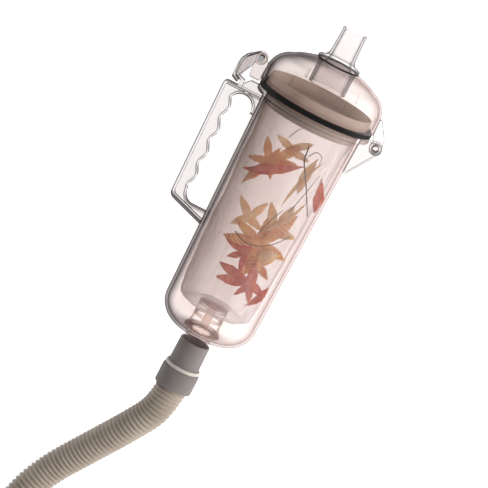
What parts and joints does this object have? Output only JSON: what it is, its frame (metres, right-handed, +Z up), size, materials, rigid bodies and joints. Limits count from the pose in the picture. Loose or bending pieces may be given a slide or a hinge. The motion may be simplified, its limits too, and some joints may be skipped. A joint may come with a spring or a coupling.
{
  "type": "in-line leaf canister for a pool cleaner hose",
  "caption": "Clear in-line leaf canister for a suction pool cleaner, with a hinged domed lid, latch, finger-grip handle, mesh bag, and a metre of ribbed hose on its outlet.",
  "frame": {"origin": "centre of the canister's bounding box, without the hose, at floor level", "axes": "+Y along the canister from its outlet to its lid, +X towards the lid hinge, +Z up from the floor that it lies on"},
  "size_m": [0.5012, 1.1934, 0.1883],
  "materials": {
    "clear_plastic": "clear, faintly pink",
    "taupe_plastic": "moulded satin",
    "seal_rubber": "moulded",
    "bag_mesh": "fine woven mesh",
    "pale_plastic": "satin",
    "cuff_plastic": "soft satin",
    "hose_plastic": "ribbed, soft satin",
    "stainless_steel": "turned",
    "leaf_orange": "dry leaf",
    "leaf_red": "dry leaf",
    "twig_bark": "bare twig"
  },
  "bodies": {
    "canister": {"canister_body": "clear_plastic", "handle": "clear_plastic", "lid_seal": "seal_rubber", "bag_ring": "taupe_plastic", "bag_band": "pale_plastic", "mesh_bag": "bag_mesh", "outlet_cage": "clear_plastic", "hinge_pin": "clear_plastic", "hinge_pin_cap": "stainless_steel", "hose_cuff": "cuff_plastic", "cuff_ring": "pale_plastic", "hose": "hose_plastic", "hose_end_cuff": "cuff_plastic", "end_cuff_ring": "pale_plastic"},
    "lid": {"dome_lid": "clear_plastic", "inlet_spigot": "clear_plastic", "spigot_seal": "seal_rubber", "latch_pin": "stainless_steel", "latch_pin_cap": "stainless_steel"},
    "latch": {"latch_lever": "clear_plastic"}
  },
  "joints": [
    {"name": "lid_hinge", "type": "hinge", "parent": "canister", "child": "lid", "pos_m": [0.11826, 0.14279, 0.09305], "axis": [0, 0.0551, -0.9985], "range_deg": [0, 110]},
    {"name": "latch_pivot", "type": "hinge", "parent": "lid", "child": "latch", "pos_m": [-0.09374, 0.18572, 0.09542], "axis": [0, 0.0551, -0.9985], "range_deg": [0, 100]}
  ]
}
